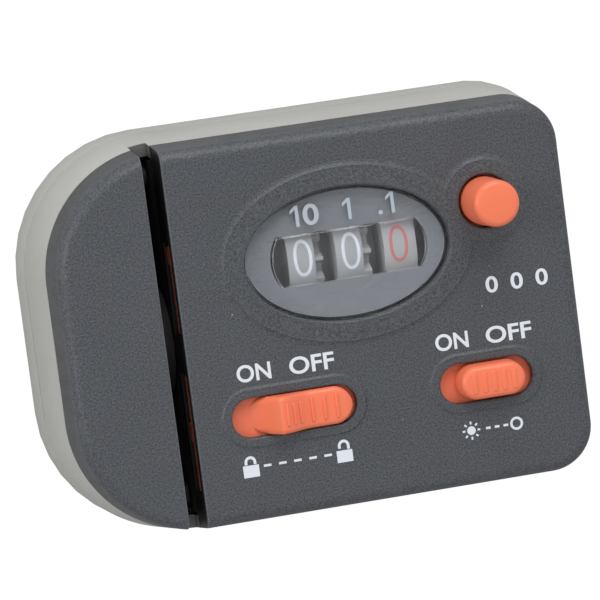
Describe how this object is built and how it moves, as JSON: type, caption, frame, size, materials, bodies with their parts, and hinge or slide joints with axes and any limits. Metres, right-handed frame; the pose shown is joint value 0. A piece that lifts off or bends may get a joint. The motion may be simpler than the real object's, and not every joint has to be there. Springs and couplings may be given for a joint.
{
  "type": "fishing line counter",
  "caption": "Rod-mounted fishing line counter with a measuring wheel in a line slot, number drums under a clear lens, a reset button, a line lock slider and a light switch.",
  "frame": {"origin": "under the middle of the case, on the surface that the rod pads stand on", "axes": "+X from the nose to the far end of the case, +Y along the line slot towards the top edge of the face, +Z out of the face"},
  "size_m": [0.0778, 0.0574, 0.0372],
  "materials": {
    "black_case": "fine grained black moulding",
    "grey_case": "satin warm grey moulding",
    "back_grey": "satin warm grey moulding",
    "orange": "satin orange-red moulding",
    "clear": "polished clear moulding",
    "dial_grey": "glossy grey plate",
    "drum_grey": "grey drum with white numerals",
    "drum_white": "pale drum with red numerals",
    "gear_white": "natural moulded acetal",
    "steel": "bright drawn steel",
    "brass": "turned brass",
    "rubber": "matt black rubber",
    "board_green": "green circuit board",
    "switch_black": "black moulding"
  },
  "bodies": {
    "case": {"front_cover": "black_case", "nose_cover": "black_case", "rear_shell": "grey_case", "line_channel": "switch_black", "back_cover": "back_grey", "rod_pad_left": "rubber", "rod_pad_right": "rubber", "battery_door": "back_grey", "case_screw_1": "steel", "case_screw_2": "steel", "case_screw_3": "steel", "case_screw_4": "steel", "door_screw": "steel", "lens": "clear", "dial_plate": "dial_grey", "first_gear_shaft": "steel", "transfer_shaft": "steel", "lever_pin": "steel", "wheel_bush_left": "brass", "wheel_bush_right": "brass", "drum_bush_left": "brass", "drum_bush_right": "brass", "counter_frame": "steel", "line_guide_upper": "switch_black", "line_guide_lower": "switch_black", "lock_retainer": "switch_black", "circuit_board": "board_green", "switch_body": "switch_black", "led": "clear", "battery": "steel", "contact_positive": "brass", "contact_negative": "brass", "reset_spring": "steel"},
    "wheel": {"measuring_wheel": "gear_white", "wheel_tyre": "rubber", "wheel_shaft": "steel", "drive_pinion": "brass"},
    "first_train_gear": {"first_gear": "gear_white"},
    "second_train_gear": {"second_gear": "gear_white"},
    "tenths": {"drum_tenths": "drum_white", "drum_gear": "gear_white", "drum_shaft": "steel"},
    "units": {"drum_units": "drum_grey"},
    "tens": {"drum_tens": "drum_grey"},
    "units_transfer": {"transfer_pinion_units": "gear_white"},
    "tens_transfer": {"transfer_pinion_tens": "gear_white"},
    "line_lock": {"linelock_slider": "orange", "lock_plate": "orange"},
    "light_switch": {"light_slider": "orange", "switch_lever": "switch_black"},
    "button": {"reset_button": "orange"},
    "rocker": {"reset_lever": "steel"}
  },
  "joints": [
    {"name": "wheel_spin", "type": "hinge", "parent": "case", "child": "wheel", "pos_m": [-0.0218, -0.00098, 0.0146], "axis": [1, 0, 0], "continuous": true},
    {"name": "first_gear_spin", "type": "hinge", "parent": "case", "child": "first_train_gear", "pos_m": [-0.017, -0.00779, 0.013], "axis": [1, 0, 0], "continuous": true},
    {"name": "second_gear_spin", "type": "hinge", "parent": "case", "child": "second_train_gear", "pos_m": [-0.0151, -0.00098, 0.0146], "axis": [1, 0, 0], "continuous": true},
    {"name": "tenths_spin", "type": "hinge", "parent": "case", "child": "tenths", "pos_m": [0.00505, 0.00885, 0.0183], "axis": [1, 0, 0], "continuous": true},
    {"name": "units_spin", "type": "hinge", "parent": "case", "child": "units", "pos_m": [0.00505, 0.00885, 0.0183], "axis": [1, 0, 0], "continuous": true},
    {"name": "tens_spin", "type": "hinge", "parent": "case", "child": "tens", "pos_m": [-0.00195, 0.00885, 0.0183], "axis": [1, 0, 0], "continuous": true},
    {"name": "units_transfer_spin", "type": "hinge", "parent": "case", "child": "units_transfer", "pos_m": [0.00855, 0.01905, 0.01367], "axis": [1, 0, 0], "continuous": true},
    {"name": "tens_transfer_spin", "type": "hinge", "parent": "case", "child": "tens_transfer", "pos_m": [0.00155, 0.01905, 0.01367], "axis": [1, 0, 0], "continuous": true},
    {"name": "line_lock_slide", "type": "slide", "parent": "case", "child": "line_lock", "axis": [-1, 0, 0], "range_m": [0, 0.0025]},
    {"name": "light_switch_slide", "type": "slide", "parent": "case", "child": "light_switch", "axis": [-1, 0, 0], "range_m": [0, 0.0022]},
    {"name": "reset_press", "type": "slide", "parent": "case", "child": "button", "axis": [0, 0, -1], "range_m": [0, 0.0024], "stiffness_N_per_m": 300, "springref_m": -0.002, "deforming": ["reset_spring"]},
    {"name": "rocker_tilt", "type": "hinge", "parent": "case", "child": "rocker", "pos_m": [0, 0.02315, 0.019], "axis": [1, 0, 0], "range_deg": [0, 14.5]}
  ],
  "couplings": [
    {"joint": "first_gear_spin", "follows": "wheel_spin", "ratio": -0.4},
    {"joint": "second_gear_spin", "follows": "wheel_spin", "ratio": 0.16},
    {"joint": "tenths_spin", "follows": "wheel_spin", "ratio": -0.05},
    {"joint": "units_spin", "follows": "wheel_spin", "ratio": -0.005},
    {"joint": "tens_spin", "follows": "wheel_spin", "ratio": -0.0005},
    {"joint": "units_transfer_spin", "follows": "wheel_spin", "ratio": 0.0125},
    {"joint": "tens_transfer_spin", "follows": "wheel_spin", "ratio": 0.00125},
    {"joint": "rocker_tilt", "follows": "reset_press", "rad_per_m": 99}
  ]
}
